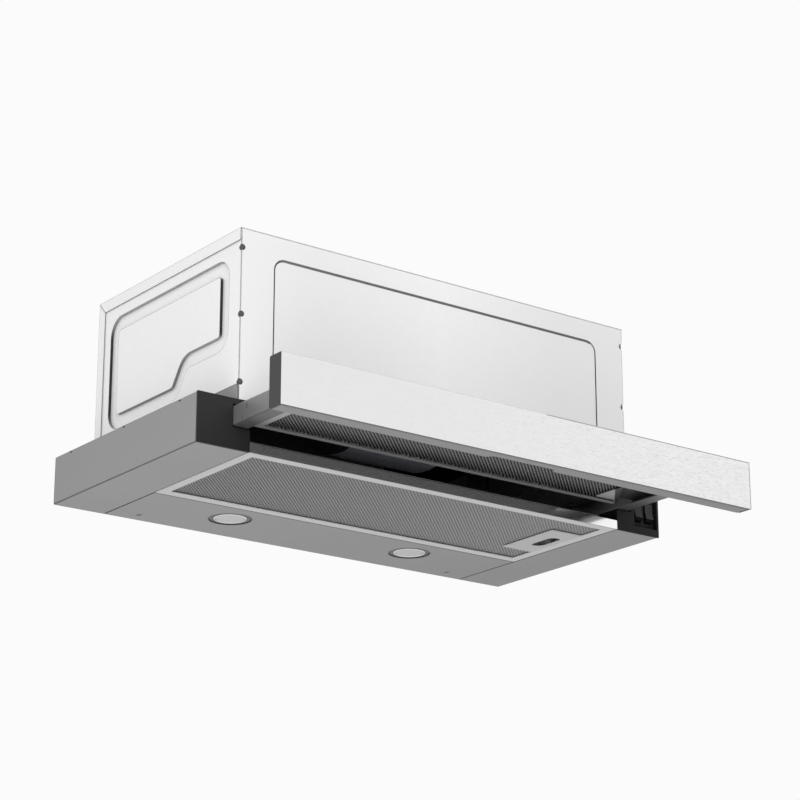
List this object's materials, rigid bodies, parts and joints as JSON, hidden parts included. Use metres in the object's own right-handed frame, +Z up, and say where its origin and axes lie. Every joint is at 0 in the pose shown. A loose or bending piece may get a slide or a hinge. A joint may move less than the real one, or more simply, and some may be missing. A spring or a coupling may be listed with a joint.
{
  "type": "pull-out range hood",
  "caption": "Slim cabinet range hood with a pull-out visor on ball slides, swing-down grease filter, two lamps, rocker switches, fan and duct collar.",
  "frame": {"origin": "under the middle of the whole hood with its visor drawn out, at the height of the tray's underside", "axes": "+X to the user's right along the trim, +Y to the wall, +Z up"},
  "size_m": [0.6, 0.424, 0.2655],
  "materials": {
    "tray_paint": "satin",
    "housing_steel": "satin",
    "dark_plastic": "matte",
    "scroll_plastic": "matte",
    "brushed_trim": "brushed",
    "filter_aluminium": "satin",
    "mesh_aluminium": "satin",
    "plain_steel": "satin",
    "lens": "frosted",
    "impeller_plastic": "matte",
    "motor_paint": "satin"
  },
  "bodies": {
    "hood": {"tray_side_left": "tray_paint", "tray_side_right": "tray_paint", "tray_back": "tray_paint", "lamp_panel": "tray_paint", "front_crossbar": "brushed_trim", "end_cover": "dark_plastic", "control_box": "dark_plastic", "light_switch_body": "dark_plastic", "fan_switch_body": "dark_plastic", "housing_front": "housing_steel", "housing_side_left": "housing_steel", "housing_side_right": "housing_steel", "housing_back": "housing_steel", "housing_top": "housing_steel", "outlet_collar": "dark_plastic", "flap_rod": "plain_steel", "collar_screws": "plain_steel", "fan_scroll": "scroll_plastic", "fan_scroll_cover": "scroll_plastic", "motor": "motor_paint", "motor_bracket": "motor_paint", "terminal_box": "dark_plastic", "terminal_box_lid": "dark_plastic", "run_capacitor": "filter_aluminium", "led_driver": "dark_plastic", "cable_gland": "dark_plastic", "rail_left": "plain_steel", "rail_right": "plain_steel", "rail_brackets": "plain_steel", "lamp_bezels": "brushed_trim", "lamp_lenses": "lens", "lamp_bodies": "filter_aluminium", "panel_screws": "plain_steel", "housing_rivets": "plain_steel", "micro_switch": "dark_plastic"},
    "visor": {"visor_arm_left": "plain_steel", "visor_arm_right": "plain_steel", "trim_plate": "brushed_trim", "trim_profile": "tray_paint", "trim_cap_left": "dark_plastic", "trim_cap_right": "dark_plastic", "visor_filter_frame": "filter_aluminium", "visor_filter_mesh": "mesh_aluminium", "visor_brace": "plain_steel", "visor_screws": "plain_steel"},
    "ball_cage_left": {"ball_cage_left": "plain_steel"},
    "ball_cage_right": {"ball_cage_right": "plain_steel"},
    "light_rocker": {"light_rocker": "dark_plastic"},
    "fan_rocker": {"fan_rocker": "dark_plastic"},
    "fan_wheel": {"impeller": "impeller_plastic", "motor_shaft": "plain_steel"},
    "front_flap": {"front_flap": "dark_plastic"},
    "rear_flap": {"rear_flap": "dark_plastic"},
    "grease_filter": {"grease_filter_frame": "filter_aluminium", "grease_filter_mesh": "mesh_aluminium", "latch_plate": "filter_aluminium", "latch_spring": "plain_steel"},
    "latch_bolt": {"latch_slider": "plain_steel"},
    "switch_plunger": {"micro_switch_plunger": "plain_steel"}
  },
  "joints": [
    {"name": "visor_slide", "type": "slide", "parent": "hood", "child": "visor", "axis": [0, -1, 0], "range_m": [-0.1235, 0]},
    {"name": "ball_cage_left_slide", "type": "slide", "parent": "hood", "child": "ball_cage_left", "axis": [0, -1, 0], "range_m": [-0.062, 0]},
    {"name": "ball_cage_right_slide", "type": "slide", "parent": "hood", "child": "ball_cage_right", "axis": [0, -1, 0], "range_m": [-0.062, 0]},
    {"name": "light_rocker_tilt", "type": "hinge", "parent": "hood", "child": "light_rocker", "pos_m": [0.2733, -0.0575, 0.0275], "axis": [1, 0, 0], "range_deg": [0, 14]},
    {"name": "fan_rocker_tilt", "type": "hinge", "parent": "hood", "child": "fan_rocker", "pos_m": [0.289, -0.0575, 0.0275], "axis": [1, 0, 0], "range_deg": [0, 14]},
    {"name": "impeller_spin", "type": "hinge", "parent": "hood", "child": "fan_wheel", "pos_m": [0, 0.028, 0.147], "axis": [1, 0, 0], "continuous": true},
    {"name": "front_flap_swing", "type": "hinge", "parent": "hood", "child": "front_flap", "pos_m": [0, 0.082, 0.2405], "axis": [-1, 0, 0], "range_deg": [0, 75]},
    {"name": "rear_flap_swing", "type": "hinge", "parent": "hood", "child": "rear_flap", "pos_m": [0, 0.082, 0.2405], "axis": [1, 0, 0], "range_deg": [0, 75]},
    {"name": "filter_swing", "type": "hinge", "parent": "hood", "child": "grease_filter", "pos_m": [-0.239, 0.02135, 0], "axis": [0, 1, 0], "range_deg": [0, 70]},
    {"name": "latch_slide", "type": "slide", "parent": "grease_filter", "child": "latch_bolt", "axis": [-1, 0, 0], "range_m": [0, 0.004], "stiffness_N_per_m": 200, "springref_m": -0.002, "deforming": ["latch_spring"]},
    {"name": "switch_plunger_press", "type": "slide", "parent": "hood", "child": "switch_plunger", "axis": [0, 1, 0], "range_m": [0, 0.0012], "stiffness_N_per_m": 150, "springref_m": -0.002}
  ],
  "couplings": [
    {"joint": "ball_cage_left_slide", "follows": "visor_slide", "ratio": 0.5},
    {"joint": "ball_cage_right_slide", "follows": "visor_slide", "ratio": 0.5}
  ]
}
